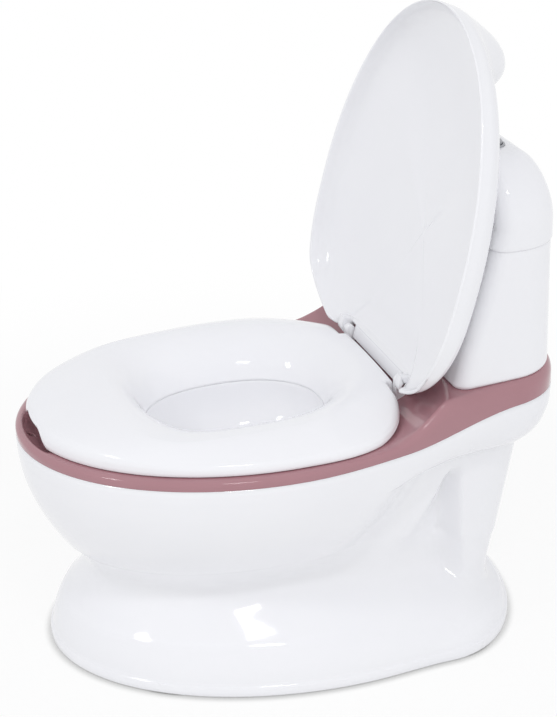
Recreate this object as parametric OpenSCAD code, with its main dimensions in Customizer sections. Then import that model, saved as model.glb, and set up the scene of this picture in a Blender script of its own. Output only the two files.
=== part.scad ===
// Toddler potty chair in the shape of a small toilet.
// Millimetres, +Z up, bowl front toward -Y, origin on the floor under the middle of the deck.

/* [Overall] */
// Length of the deck, front to rear
body_l = 410; // [390:1:430]
// Width of the deck at its widest
body_w = 278; // [264:1:292]
// Distance of the widest line behind the deck's front
wide_back = 183; // [170:1:200]
// Height of the joint between base and deck at the front
seam_z = 181; // [172:1:190]
// Extra height of that joint at the rear
seam_rise = 18; // [14:0.5:20]
// Wall of the moulded shells
wall = 3; // [2.4:0.1:3.6]

/* [Base] */
// Width of the foot on the floor
foot_w = 286; // [270:1:300]
// Distance of the foot's front behind the deck's front
foot_front_gap = 15; // [8:1:24]
// Distance of the foot's rear ahead of the deck's rear
foot_rear_gap = 23; // [16:1:30]
// Height of the upright lip round the foot
lip_h = 9; // [6:0.5:12]
// Step from the lip to the domed top of the foot
lip_step = 2; // [1:0.2:3]
// Width of the neck under the bowl
neck_w = 132; // [116:1:146]
// Distance of the neck's front behind the deck's front
neck_back = 53; // [46:1:60]
// Height of the neck at the front
neck_z = 66; // [60:1:72]
// Height of the neck at the sides
neck_side_z = 69; // [64:1:74]
// Height of the neck at the rear
neck_rear_z = 26; // [22:1:32]
// Height of the upright band round the rear
band_h = 28; // [24:1:32]
// Width of the rear column
column_w = 172; // [156:1:186]
// Length of the rear column at its top
column_l = 65; // [58:1:72]
// Step of the column's top ahead of the band's rear
column_step = 17; // [12:1:22]
// Lean of the column from top to bottom
column_lean = 30; // [20:1:38]
// Distance of the web under the bowl ahead of the hinge axis
web_ahead = 22; // [16:1:28]
// Width of that slanting web
web_w = 22; // [16:1:28]
// Depth of the pocket between web and column
pocket_depth = 12; // [6:1:15]

/* [Deck] */
// Height of the deck's rim over the joint
deck_h = 7.5; // [6:0.5:10]
// Width of the deck under the tank
tail_w = 216; // [212:1:228]
// Height of the raised plinth under the tank
plinth_h = 25; // [22:1:28]
// Extra height of the plinth at its rear
plinth_rise = 5; // [3:0.5:6]
// Length of the hollow sweep up to the plinth
cove_l = 45; // [38:1:50]
// Width of the finger scoop at the front
scoop_w = 84; // [70:1:96]
// Depth of the finger scoop
scoop_depth = 5; // [3:0.5:6]
// Diameter of the drain hole in the scoop
drain_d = 5; // [3:0.5:6]
// Height of the collar round the pot hole
collar_h = 12; // [9:0.5:16]

/* [Pot] */
// Width of the pot's mouth
pot_w = 178; // [168:1:184]
// Length of the pot's mouth
pot_l = 196; // [184:1:204]
// Distance of the pot's front behind the deck's front
pot_back = 66; // [62:1:74]
// Depth of the pot below the deck
pot_depth = 92; // [80:1:104]
// Share of the mouth that the pot's flat floor keeps
pot_floor_share = 0.5; // [0.4:0.02:0.6]
// Width of the flange that hangs on the deck
flange_w = 9; // [7:0.5:11]

/* [Seat] */
// Ledge of deck left open at the sides of the seat
seat_ledge = 10; // [8.5:0.5:12]
// Ledge of deck left open in front of the seat
seat_front_gap = 8; // [7:0.5:10]
// Height of the ring over the deck
seat_h = 19; // [17:0.5:21]
// Height of the front ramp's crest over the deck
crest_h = 25; // [23:0.5:27]
// Depth of the skirt that hangs into the pot
skirt_h = 14; // [8:1:18]
// Height of the finger notch in the front edge
notch_h = 11; // [8:0.5:12]

/* [Lid] */
// Overhang of the lid past the deck on each side
lid_over = 2; // [0:0.5:4]
// Distance of the closed lid's front behind the deck's front
lid_front_gap = 3.5; // [2:0.5:4.5]
// Depth of the lid's hollow at its middle
lid_depth = 32; // [30:0.5:36]
// Wall of the lid
lid_wall = 3; // [2.5:0.1:3.5]
// Angle at which the lid stands open
lid_open = 105; // [96:1:108]
// Width of the finger grip on the lid's back
grip_w = 100; // [80:1:110]
// Length of the finger grip
grip_l = 66; // [54:1:76]
// Height of the finger grip over the lid's back
grip_h = 30; // [20:0.5:34]
// Distance of the grip's middle behind the lid's front
grip_back = 42; // [38:1:48]

/* [Hinge] */
// Distance of the hinge axis ahead of the deck's rear
hinge_ahead = 122; // [118:1:126]
// Height of the hinge axis over the deck
hinge_rise = 18.5; // [17:0.5:20]
// Diameter of the hinge pins
pin_d = 4; // [3.5:0.1:4.5]
// Outer diameter of the deck's hinge posts
post_d = 9; // [8:0.2:9.4]
// Width of each hinge post
post_w = 6; // [5:0.5:7]
// Distance of each post's middle from the centre line
post_x = 54; // [52:0.5:56]
// Outer diameter of the lid's ears
ear_d = 12; // [10:0.5:13]
// Width of each ear
ear_w = 9; // [7:0.5:11]

/* [Tank] */
// Width of the tank at its bottom
tank_w = 208; // [200:1:210]
// Draft of each side of the tank up to its joint
tank_draft = 1.5; // [0.5:0.5:3]
// Height of the tank from plinth to joint
tank_h = 107; // [95:1:118]
// Lean of the tank's front up to its joint
tank_lean = 30; // [24:1:34]
// Distance of the tank's front behind the hinge axis
tank_behind = 27; // [25:1:32]
// Distance of the tank's rear ahead of the deck's rear
tank_rear_gap = 8; // [6:0.5:11]
// Radius of the tank's front corners
tank_front_r = 12; // [8:1:16]
// Radius of the tank's rear corners
tank_rear_r = 36; // [26:1:40]
// Height of the cover over the joint
cover_h = 62; // [56:1:68]
// Overhang of the cover past the tank
cover_over = 1.2; // [0.5:0.1:2]
// Rounding of the cover's shoulders to the sides
shoulder_w = 44; // [34:1:48]
// Rounding of the cover's front shoulder
shoulder_front = 8; // [6:0.5:9]
// Rounding of the cover's rear shoulder
shoulder_rear = 22; // [17:0.5:23]
// Height of the rounded shoulders
shoulder_h = 47; // [42:1:52]
// Depth of the cover's lip inside the tank
cover_lip = 6; // [4:0.5:8]

/* [Button] */
// Length of the flush button
button_l = 96; // [84:1:98]
// Width of the flush button
button_w = 15; // [12:0.5:16]
// Stroke of the button
button_stroke = 2.5; // [1.5:0.1:2.8]
// Width of the bezel round the button
bezel_rim = 3; // [2.4:0.2:3.4]
// Height of the bezel over the cover
bezel_h = 1.5; // [1:0.1:2]
// Depth of the bezel's sleeve under the cover
sleeve_h = 7; // [5:0.5:9]
// Thickness of the plate that keeps the button in
keeper_h = 2; // [1.6:0.1:2.6]

/* [Fixings] */
// Diameter of the screws
screw_d = 4; // [3.4:0.1:4.4]
// Diameter of the screw heads
head_d = 8; // [7:0.2:9]
// Height of the screw heads
head_h = 2.6; // [2:0.1:3]
// Diameter of the screw bosses
boss_d = 10; // [9:0.2:11]
// Length of the deck's screw bosses
boss_h = 12; // [10:0.5:14]
// Thickness of the lugs inside the base
lug_h = 4; // [3:0.2:5]
// Depth of thread in each boss
thread_h = 9; // [7:0.5:11]
// Diameter of the anti-slip pads
pad_d = 22; // [18:1:24]
// Thickness of the anti-slip pads
pad_h = 3; // [2.6:0.1:4]
// Height of the pads proud of the base
pad_proud = 1; // [0.6:0.1:1.4]

/* [Clearances] */
// Gap between pieces that lift apart
lift_gap = 0.4; // [0.3:0.05:0.6]
// Gap round the pot in the deck's hole
pot_gap = 1; // [0.8:0.1:1.4]
// Gap of the seat's skirt inside the pot
skirt_gap = 2.4; // [2:0.1:3]
// Gap of the joints under the deck and the tank
joint_gap = 0.1; // [0.1:0.05:0.3]
// Gap of locating lips inside their walls
lip_gap = 0.4; // [0.2:0.05:0.6]
// Gap round the closed lid
lid_gap = 1.2; // [0.8:0.1:1.6]
// Running clearance of the hinge on its radius
hinge_clear = 0.06; // [0.03:0.01:0.1]
// Seating clearance of pins, screws and pads on the radius
seat_clear = 0.05; // [0.02:0.01:0.1]
// Sliding clearance round the button
button_clear = 0.3; // [0.3:0.05:0.4]

/* [Hidden] */

white = [0.93, 0.93, 0.95];
pink = [0.69, 0.48, 0.51];
grey = [0.55, 0.56, 0.58];
steel = [0.72, 0.73, 0.75];
eps = 0.01;
$fn = 48;

// Counts of points round the outlines
front_n = 8;
side_n = 18;
tail_side_n = 4;
corner_n = 5;
rear_n = 2;
egg_front_n = 14;
egg_rear_n = 9;
pot_n = 32;

// Places along the length
front_y = -body_l / 2;
rear_y = body_l / 2;
wide_y = front_y + wide_back;
hinge_y = rear_y - hinge_ahead;
tail_corner_l = 45;
tail_corner_w = 55;
tail_y = rear_y - tail_corner_l;
column_y = rear_y - column_step - column_l;
tank_front = hinge_y + tank_behind;
tank_rear = rear_y - tank_rear_gap;
cove_y = tank_front - cove_l;

// Heights
base_z = pad_proud;
band_z = seam_z - band_h;
deck_z = seam_z + deck_h;
hinge_z = deck_z + hinge_rise;
plinth_z = deck_z + plinth_h;
tank_top = plinth_z + tank_h;
cover_top = tank_top + cover_h;
// Height of the pressed button over its bezel
pressed_proud = 0.5;
button_proud = button_stroke + pressed_proud;
button_top = cover_top + bezel_h + button_proud;
lug_z = seam_z - boss_h;
lip_drop = 4;
band_room = lip_drop + 1;
bowl_top = seam_z - 2 * band_room;

// Powers of the swelling profiles
bowl_power = 2.2;
foot_power = 1.75;
cove_power = 1.8;
neck_power = 1.9;
rear_power = 2.7;

// Smooth step from 0 to 1
function clamp01(t) = min(1, max(0, t));
function ease(t) = let (c = clamp01(t)) c * c * (3 - 2 * c);
function mix(a, b, t) = a + (b - a) * t;
function reversed(list) = [for (i = [len(list) - 1:-1:0]) list[i]];

// Right half of a body outline: round front, tapered side, round rear corner, straight rear
function half_outline(half_w, front, wide, rear_half_w, corner_y, rear, corner_w) = let (
    tail = min(column_y, corner_y - tail_side_n),
    side = concat([for (i = [1:side_n]) mix(wide, tail, i / side_n)],
        [for (i = [1:tail_side_n]) mix(tail, corner_y, i / tail_side_n)])) concat(
            [for (i = [0:front_n]) let (t = 90 * i / front_n)
                [half_w * sin(t), wide - (wide - front) * cos(t)]],
            [for (y = side) [mix(half_w, rear_half_w, ease((y - wide) / (corner_y - wide))), y]],
            [for (i = [1:corner_n]) let (t = 90 * i / corner_n)
                [rear_half_w - corner_w * (1 - cos(t)), corner_y + (rear - corner_y) * sin(t)]],
            [for (i = [1:rear_n]) [(rear_half_w - corner_w) * (1 - i / rear_n), rear]]);

// Right half of an egg: round front, fuller rear that would close at one line and is cut at another
function half_egg(half_w, front, wide, close, cut) = let (
    turn = asin(pow((cut - wide) / (close - wide), rear_power / 2))) concat(
        [for (i = [0:egg_front_n]) let (t = 90 * i / egg_front_n)
            [half_w * sin(t), wide - (wide - front) * cos(t)]],
        [for (i = [1:egg_rear_n]) let (t = turn * i / egg_rear_n)
            [half_w * pow(cos(t), 2 / rear_power), wide + (close - wide) * pow(sin(t), 2 / rear_power)]]);

// Right half of a rectangle with round corners
function half_box(half_w, front, rear, front_r, rear_r) = concat(
    [[0, front], [half_w / 3, front], [half_w * 2 / 3, front]],
    [for (t = [0:22.5:90]) [half_w - front_r + front_r * sin(t), front + front_r - front_r * cos(t)]],
    [for (t = [0:15:90]) [half_w - rear_r + rear_r * cos(t), rear - rear_r + rear_r * sin(t)]],
    [[(half_w - rear_r) / 2, rear], [0, rear]]);

// Whole ring from its right half
function ring(half) = concat(half, [for (i = [len(half) - 2:-1:1]) [-half[i].x, half[i].y]]);

// Right half moved inward by d, square to itself
function inset(half, d) = let (n = len(half)) [for (i = [0:n - 1]) let (
    a = i == 0 ? [-half[1].x, half[1].y] : half[i - 1],
    b = i == n - 1 ? [-half[n - 2].x, half[n - 2].y] : half[i + 1],
    t = (b - a) / norm(b - a))
        half[i] - d * [t.y, -t.x]];

// Point of an egg seen from its middle toward p
function egg_toward(p, half_w, mid, front_semi, rear_semi) = let (
    d = p - [0, mid],
    semi = d.y < 0 ? front_semi : rear_semi)
        [0, mid] + d / norm([d.x / half_w, d.y / semi]);

// Ring at one height, or at a height for each point of its half
function at_z(half, z) = [for (p = ring(half)) [p.x, p.y, z]];
function at_heights(half, heights) = let (
    points = ring(half),
    levels = ring([for (z = heights) [z, z]]))
        [for (i = [0:len(points) - 1]) [points[i].x, points[i].y, levels[i].y]];

// Middle of a ring
function middle(ring) = [for (p = ring) 1] * ring / len(ring);

// Skin through a list of rings, closed on itself or capped at both ends
module skin(rings, capped = false) {
    n = len(rings[0]);
    count = len(rings);
    first = count * n;
    sides = [for (r = [0:count - (capped ? 2 : 1)], i = [0:n - 1]) let (
        a = r * n + i,
        b = r * n + (i + 1) % n,
        c = (r + 1) % count * n + (i + 1) % n,
        d = (r + 1) % count * n + i)
            each [[a, d, c], [a, c, b]]];
    caps = [for (i = [0:n - 1]) let (j = (i + 1) % n)
        each [[first, i, j], [first + 1, first - n + j, first - n + i]]];
    points = [for (r = rings) each r];
    if (capped)
        polyhedron(concat(points, [middle(rings[0]), middle(rings[count - 1])]),
            concat(sides, caps), convexity = 10);
    else
        polyhedron(points, sides, convexity = 10);
}

// Bar with round ends along X
module oblong(l, w, h) {
    translate([w / 2 - l / 2, -w / 2, 0]) cube([l - w, w, h]);
    for (side = [-1, 1])
        translate([side * (l - w) / 2, 0, 0]) cylinder(d = w, h = h);
}

// Screw standing on its head
module screw(length) {
    translate([0, 0, -head_h]) cylinder(d = head_d, h = head_h);
    cylinder(d = screw_d, h = length);
}

// Same thing at each spot and at its mirror image
module mirrored_spots(spots) {
    for (p = spots, side = [-1, 1])
        translate([side * p.x, p.y, p.z]) children();
}

// Outlines of the base from the joint down to the floor
band = half_outline(body_w / 2, front_y, wide_y, tail_w / 2, tail_y, rear_y, tail_corner_w);
foot_half_w = foot_w / 2;
foot_wide_back = 210;
foot_side_l = 75;
foot_wide_y = front_y + foot_front_gap + foot_wide_back;
foot_corner_y = foot_wide_y + foot_side_l;
foot_taper = 5;
foot_flat = 12;
foot = half_outline(foot_half_w, front_y + foot_front_gap, foot_wide_y, foot_half_w - foot_taper,
    foot_corner_y, rear_y - foot_rear_gap, foot_half_w - foot_taper - foot_flat);
neck_ahead = 18;
neck_wide_y = wide_y - neck_ahead;
column_corner_w = 46;
column_corner_share = 0.2;
column_rear = rear_y - column_step - column_lean;
neck = half_outline(neck_w / 2, front_y + neck_back, neck_wide_y, column_w / 2,
    mix(column_y, column_rear, column_corner_share), column_rear, column_corner_w);
column = [for (p = neck) [p.x, p.y + column_lean * max(0, p.y - column_y) / (column_rear - column_y)]];
last = len(band) - 1;

// Height of the joint and of the neck along the outline
rise_y = hinge_y + 10;
rise_l = 95;
seam = [for (p = band) seam_z + seam_rise * ease((p.y - rise_y) / rise_l)];
neck_heights = [for (p = neck) p.y < neck_wide_y
    ? mix(neck_z, neck_side_z, ease((p.y - front_y - neck_back) / (neck_wide_y - front_y - neck_back)))
    : mix(neck_side_z, neck_rear_z, pow((p.y - neck_wide_y) / (column_rear - neck_wide_y), neck_power))];

// The bowl runs into a slanting web, and the web falls back into a pocket up to the column's edge
web_slope = 0.8;
web_blend = 45;
web_level = 0.3;
web_z = mix(neck_side_z, band_z, web_level);
column_edge = (column_y - neck_wide_y) / side_n;
function web_y(z) = hinge_y - web_ahead + web_slope * (z - web_z);
function web_share(y, z) = ease((y - web_y(z)) / web_blend + 1);
function pocket(y, z) = let (
    from = web_y(z) + web_w,
    to = max(column_y - column_edge, from + eps),
    rise = clamp01((y - from) / (to - from)),
    fall = clamp01((column_y - y) / column_edge))
        pocket_depth * min(rise, fall) * ease((band_z - z) / column_edge);

// Point k of the base between neck and joint
function body_point(k, z) = let (
    fall = clamp01((bowl_top - z) / (bowl_top - neck_heights[k])),
    bowl = mix(band[k], neck[k], pow(fall, bowl_power)),
    stem = mix(neck[k], column[k], clamp01((z - neck_heights[k]) / (band_z - neck_heights[k]))),
    swell = clamp01((z - band_z) / (seam[k] - band_room - band_z)),
    back = mix(stem, band[k], sqrt(1 - pow(1 - swell, 2))),
    p = mix(bowl, back, web_share(neck[k].y, z)))
        [max(0, p.x - pocket(p.y, z)), p.y];

// Steps up the outer face, and fewer up the inner one: over the foot, the body and the band
outer_steps = [[0.3, 0.55, 0.75, 0.9],
    [0, 0.12, 0.27, 0.4, 0.53, 0.66, 0.8, 0.92, 1],
    [0.06, 0.3, 0.7, 1]];
inner_steps = [[0.45, 0.85], outer_steps[1], [0.06, 0.4, 1]];

// Rings of one face of the base, moved inward by d, and by more where the wall lies flat
neck_thick = 0.8;
neck_run = 1 / 3;
ledge_run = 1 / 5;
ledge_power = 3;
function base_rings(d, steps) = let (dome = inset(foot, lip_step)) concat(
    [at_z(inset(foot, d), base_z), at_z(inset(foot, d + lip_step / 4), lip_h)],
    [for (t = steps[0]) at_heights(
        inset([for (k = [0:last]) mix(dome[k], neck[k], pow(t, foot_power))], d * (1 + neck_thick * t)),
        [for (h = neck_heights) mix(lip_h, h, t)])],
    [for (t = steps[1]) let (z = [for (h = neck_heights) mix(h, band_z, t)])
        [for (p = at_heights(inset([for (k = [0:last]) body_point(k, z[k])],
            d * (1 + neck_thick * clamp01(1 - t / neck_run))), z))
                p + [0, 0, d * clamp01(1 - (1 - t) / ledge_run)]]],
    [for (t = steps[2]) let (z = [for (h = seam) mix(band_z, h - band_room, t)])
        [for (p = at_heights(inset([for (k = [0:last]) body_point(k, z[k])], d), z))
            p + [0, 0, d * pow(1 - t, ledge_power)]]],
    [at_heights(inset(band, d), seam)]);

// Places of the screw bosses and of the pads, beside the walls that carry them
lug_d = boss_d + 4 * wall;
front_boss = 5;
front_pad = 4;
rear_boss = front_n + side_n;
rear_pad = rear_boss + tail_side_n + 1;
boss_spots = let (line = inset([for (k = [0:last]) body_point(k, lug_z - lug_h)], lug_d / 2 + wall / 3))
    [for (k = [front_boss, rear_boss]) [line[k].x, line[k].y, lug_z]];
pad_spots = let (line = inset(foot, wall + pad_d / 2))
    [for (k = [front_pad, rear_pad]) [line[k].x, line[k].y, base_z]];

module base_shell() {
    pad_boss_d = pad_d + 2 * wall;
    color(white) difference() {
        union() {
            skin(concat(base_rings(0, outer_steps), reversed(base_rings(wall, inner_steps))));
            mirrored_spots(boss_spots) translate([0, 0, -lug_h]) cylinder(d = lug_d, h = lug_h);
            mirrored_spots(pad_spots) cylinder(d = pad_boss_d, h = lip_h - base_z);
        }
        mirrored_spots(boss_spots) translate([0, 0, -lug_h - eps])
            cylinder(d = screw_d + 2 * seat_clear, h = lug_h + 2 * eps);
        mirrored_spots(pad_spots) translate([0, 0, -eps])
            cylinder(d = pad_d + 2 * seat_clear, h = pad_h - pad_proud + eps);
    }
}

module foot_pad(i) {
    p = pad_spots[floor(i / 2)];
    side = i % 2 == 0 ? -1 : 1;
    color(grey) translate([side * p.x, p.y, 0]) cylinder(d = pad_d, h = pad_h);
}

module foot_pad_1() foot_pad(0);
module foot_pad_2() foot_pad(1);
module foot_pad_3() foot_pad(2);
module foot_pad_4() foot_pad(3);

// Pot mouth, which the deck's hole and the seat's ring follow
pot_front = front_y + pot_back;
pot_front_share = 0.55;
pot_front_semi = pot_l * pot_front_share;
pot_rear_semi = pot_l - pot_front_semi;
pot_mid = pot_front + pot_front_semi;
function mouth_toward(p, grow) =
    egg_toward(p, pot_w / 2 + grow, pot_mid, pot_front_semi + grow, pot_rear_semi + grow);

// Height of the deck's top, with its sweep up to the plinth and its finger scoop
scoop_back = 18;
scoop_y = front_y + scoop_back;
scoop_l = 16;
drain_back = 10;
drain_y = front_y + drain_back;
function sweep(y) = plinth_h * pow(clamp01((y - cove_y) / cove_l), cove_power)
    + plinth_rise * clamp01((y - tank_front) / (tank_rear - tank_front));
function scoop(p) = scoop_depth
    * (1 - ease((abs(p.x) - scoop_w / 2) / scoop_l + 1))
    * (1 - ease(abs(p.y - scoop_y) / scoop_l));
function deck_top(p) = deck_z + sweep(p.y) - scoop(p);

// Across the deck from rim to hole: even steps in front, steps along the sweep behind it
deck_steps = 7;
sweep_share = 0.96;
function across(from, to, i) = let (
    even = i / deck_steps,
    sweep_y = tank_front - cove_l * (i - 1) / (deck_steps - 2),
    reach = clamp01((from.y - sweep_y) / max(from.y - to.y, eps)))
        mix(from, to, i == 0 || i == deck_steps || from.y < cove_y ? even : mix(even, reach, sweep_share));

under_steps = [deck_steps, 5, 3, 1, 0];
rim_round = 5;
deck_wall = 1.3 * wall;
module deck() {
    hole = [for (p = band) mouth_toward(p, pot_gap)];
    collar = [for (p = band) mouth_toward(p, pot_gap + wall)];
    rim = inset(band, rim_round);
    joint = [for (z = seam) z + joint_gap];
    inner = inset(band, 2 * wall + lip_gap + 1);
    edge = [[0, 0.55], [0.12, 0.8], [0.45, 0.95]];
    rings = concat(
        [at_heights(band, joint)],
        [for (e = edge) at_heights(inset(band, e[0] * rim_round),
            [for (k = [0:last]) mix(seam[k], deck_z + sweep(band[k].y), e[1])])],
        [for (i = [0:deck_steps]) let (row = [for (k = [0:last]) across(rim[k], hole[k], i)])
            at_heights(row, [for (p = row) deck_top(p)])],
        [at_z(hole, deck_z - collar_h), at_z(collar, deck_z - collar_h)],
        [for (i = under_steps) let (row = [for (k = [0:last]) across(inner[k], collar[k], i)])
            at_heights(row, [for (p = row) deck_top(p) - deck_wall])],
        [at_heights(inset(band, 2 * wall + lip_gap), [for (z = seam) z - lip_drop]),
            at_heights(inset(band, wall + lip_gap), [for (z = seam) z - lip_drop]),
            at_heights(inset(band, wall + lip_gap), joint)]);
    color(pink) difference() {
        union() {
            skin(rings);
            for (p = boss_spots)
                mirrored_spots([p]) cylinder(d = boss_d, h = deck_top(p) - deck_wall / 2 - lug_z);
            mirrored_spots(tank_spots) translate([0, 0, -tank_grip])
                cylinder(d = boss_d, h = tank_grip - wall / 2);
            for (side = [-1, 1]) hinge_post(side);
        }
        mirrored_spots(boss_spots) translate([0, 0, -eps])
            cylinder(d = screw_d + 2 * seat_clear, h = thread_h + 1);
        mirrored_spots(tank_spots) translate([0, 0, -tank_grip - eps])
            cylinder(d = screw_d + 2 * seat_clear, h = tank_grip + wall);
        for (side = [-1, 1]) translate([side * post_x, hinge_y, hinge_z]) rotate([0, 90, 0])
            cylinder(d = pin_d + 2 * seat_clear, h = post_w + 2 * eps, center = true);
        translate([0, drain_y, deck_z - 2 * deck_wall]) cylinder(d = drain_d, h = 2 * deck_wall);
    }
}

// Upright post that carries one hinge pin
module hinge_post(side) {
    foot_z = deck_z - wall / 2;
    translate([side * post_x - post_w / 2, hinge_y - post_d / 2, foot_z])
        cube([post_w, post_d, hinge_z - foot_z]);
    translate([side * post_x, hinge_y, hinge_z]) rotate([0, 90, 0])
        cylinder(d = post_d, h = post_w, center = true);
}

module deck_screws() {
    color(steel) mirrored_spots(boss_spots) translate([0, 0, -lug_h]) screw(lug_h + thread_h);
}

// Hinge pins run from the inner face of each post and end inside each ear
pin_recess = 3;
ear_x = post_x + post_w / 2 + lift_gap + ear_w / 2;
pin_l = post_w + lift_gap + ear_w - pin_recess;
module hinge_pin(side) {
    color(steel) translate([side * (post_x - post_w / 2 + pin_l / 2), hinge_y, hinge_z])
        rotate([0, 90, 0]) cylinder(d = pin_d, h = pin_l, center = true);
}

module hinge_pin_left() hinge_pin(-1);
module hinge_pin_right() hinge_pin(1);

// Ring of the pot: its mouth moved in by d and shrunk to a share
function pot_ring(share, d, z) = [for (i = [0:pot_n - 1]) let (
    t = 360 * i / pot_n,
    p = mouth_toward([sin(t), pot_mid - cos(t)], -d))
        [p.x * share, pot_mid + (p.y - pot_mid) * share, z]];

pot_wall = 2.5;
flange_z = deck_z + lift_gap;
pot_top = flange_z + pot_wall;
pot_floor_z = deck_z - pot_depth;
module pot() {
    turn = [for (t = [0:15:90]) [mix(pot_floor_share, 1, sin(t)), 1 - cos(t)]];
    color(white) skin(concat(
        [for (t = turn) pot_ring(t[0], 0, mix(pot_floor_z, flange_z, t[1]))],
        [pot_ring(1, -flange_w, flange_z), pot_ring(1, -flange_w, pot_top),
            pot_ring(1, pot_wall / 2, pot_top)],
        [for (t = reversed(turn)) pot_ring(t[0], pot_wall, mix(pot_floor_z + pot_wall, pot_top - 1, t[1]))]),
        capped = true);
}

// Seat: an egg ring with a tongue that reaches back between the hinge posts
seat_wall = 2.6;
seat_lap = pot_wall + skirt_gap + seat_wall;
seat_z = deck_z + lift_gap;
seat_close_ahead = 2;
seat_close = hinge_y - seat_close_ahead;
seat_cut = hinge_y - ear_d / 2 - 2 * lift_gap;
tongue_w = post_x - post_w / 2 - 2 * lift_gap;
tongue_over = 3;
tongue_y = hinge_y + tongue_over;
tongue_r = 1.5;
notch_half = 20;
notch_soft = 22;
notch_in = 3;
function notch_share(p) = p.y < wide_y ? 1 - ease((abs(p.x) - notch_half) / notch_soft) : 0;
seat_outline = concat(
    [for (p = half_egg(body_w / 2 - seat_ledge, front_y + seat_front_gap, wide_y, seat_close, seat_cut))
        p + [0, notch_in * notch_share(p)]],
    [[tongue_w + tongue_r, seat_cut], [tongue_w, seat_cut + tongue_r], [tongue_w, tongue_y - tongue_r],
        [tongue_w - tongue_r, tongue_y], [tongue_w / 2, tongue_y], [0, tongue_y]]);
seat_rear_h = hinge_rise - lift_gap;
sweep_room = 6;
seat_edge = 1;
function seat_bottom(p) = seat_z + sweep(p.y + sweep_room) + notch_h * notch_share(p);

// Share of the way in and share of the height, for the ring's side, its front ramp and its rear
seat_side = [[0, 0.24], [0.03, 0.42], [0.1, 0.62], [0.22, 0.8],
    [0.4, 0.94], [0.58, 1], [0.82, 0.86], [0.96, 0.5]];
seat_ramp = [[0, 0.26], [0.03, 0.36], [0.1, 0.52], [0.25, 0.72],
    [0.5, 0.9], [0.74, 1], [0.9, 0.93], [0.98, 0.6]];
seat_rear = [[0, 0.5], [0.01, 0.78], [0.03, 0.92], [0.1, 0.99],
    [0.3, 1], [0.6, 1], [0.85, 0.86], [0.97, 0.5]];
seat_inner = [7, 6, 4, 2, 1];
ramp_ahead = 25;
ramp_l = 85;
function seat_shape(p, i) = let (
    ramp = ease((wide_y - ramp_ahead - p.y) / ramp_l),
    rear = p.y > seat_cut - eps && p.x < post_x ? 1 : 0,
    side = [seat_side[i][0], seat_side[i][1] * seat_h],
    front = [seat_ramp[i][0], seat_ramp[i][1] * crest_h],
    back = [seat_rear[i][0], seat_rear[i][1] * seat_rear_h])
        mix(mix(side, front, ramp), back, rear);

// One ring of the seat's outer face, or of its inner face at depth d below it
function seat_ring(i, d) = let (
    from = inset(seat_outline, d),
    to = [for (p = seat_outline) mouth_toward(p, d - seat_lap)],
    shape = [for (p = seat_outline) seat_shape(p, i)],
    n = len(seat_outline))
        at_heights([for (k = [0:n - 1]) mix(from[k], to[k], shape[k][0])],
            [for (k = [0:n - 1]) max(seat_z + shape[k][1] - d, seat_bottom(seat_outline[k]) + seat_edge)]);

module seat() {
    inner = [for (p = seat_outline) mouth_toward(p, -seat_lap)];
    hidden = [for (p = seat_outline) mouth_toward(p, seat_wall - seat_lap)];
    low = [for (p = seat_outline) seat_bottom(p)];
    color(white) skin(concat(
        [at_heights(seat_outline, low)],
        [for (i = [0:len(seat_side) - 1]) seat_ring(i, 0)],
        [at_z(inner, deck_z - skirt_h), at_z(hidden, deck_z - skirt_h)],
        [for (i = seat_inner) seat_ring(i, seat_wall)],
        [at_heights(inset(seat_outline, seat_wall), low)]));
}

// Lid, shaped closed about its hinge axis and turned open
lid_front = front_y + lid_front_gap - hinge_y;
lid_wide = wide_y - hinge_y;
lid_cut = -post_d / 2;
lid_outline = concat(
    half_egg(body_w / 2 + lid_over, lid_front, lid_wide, 0, lid_cut),
    [for (x = [1, 0.5, 0]) [x * (post_x + post_w / 2 + lift_gap), lid_cut]]);
lid_rim = lid_gap - hinge_rise;
lid_h = lid_depth + lid_wall;
// The rim rises at the corners beside the ears, and over the axis between them
corner_lift = 9;
corner_lift_l = 10;
corner_lift_share = 1.2;
axis_lift = 2.5;
function rim_level(p) = p.y > lid_cut - eps && p.x < ear_x
    ? axis_lift
    : lid_rim + corner_lift * ease((p.y - lid_cut) / corner_lift_l + corner_lift_share);
// Finger grip swelling from the lid's back: with the lid open, its near end stands clear over the button
grip_crest = lid_rim + lid_h + grip_h;
button_reach = button_top + lid_gap - hinge_z;
grip_far = lid_front + grip_back - grip_l / 2;
grip_near = min(grip_far + grip_l, (grip_crest * cos(lid_open) - button_reach) / sin(lid_open));
grip_y = (grip_far + grip_near) / 2;
grip_run = grip_near - grip_far;
grip_rise = 1.3;
function grip(p) = grip_h * ease(grip_rise * (1 - norm([2 * p.x / grip_w, 2 * (p.y - grip_y) / grip_run])));
// Share of the way out from the middle, and share of the depth
crown = [[0.992, 0.3], [0.97, 0.45], [0.935, 0.57], [0.885, 0.68], [0.82, 0.77], [0.74, 0.84], [0.65, 0.9],
    [0.54, 0.945], [0.38, 0.98], [0.2, 1]];
hollow = [9, 6, 4, 2, 1, 0];
edge_rise = 1.2;
edge_rings = 6;

// One ring of the lid's back, or of its hollow at depth d below it
function lid_ring(i, d) = let (
    row = [for (p = inset(lid_outline, d)) mix([0, lid_wide], p, crown[i][0])])
        at_heights(row, [for (k = [0:len(row) - 1])
            max(rim_level(lid_outline[k]) + min(i + 1, edge_rings) * edge_rise + lid_wall,
                lid_rim + crown[i][1] * lid_h) - d + (d == 0 ? grip(row[k]) : 0)]);

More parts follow.
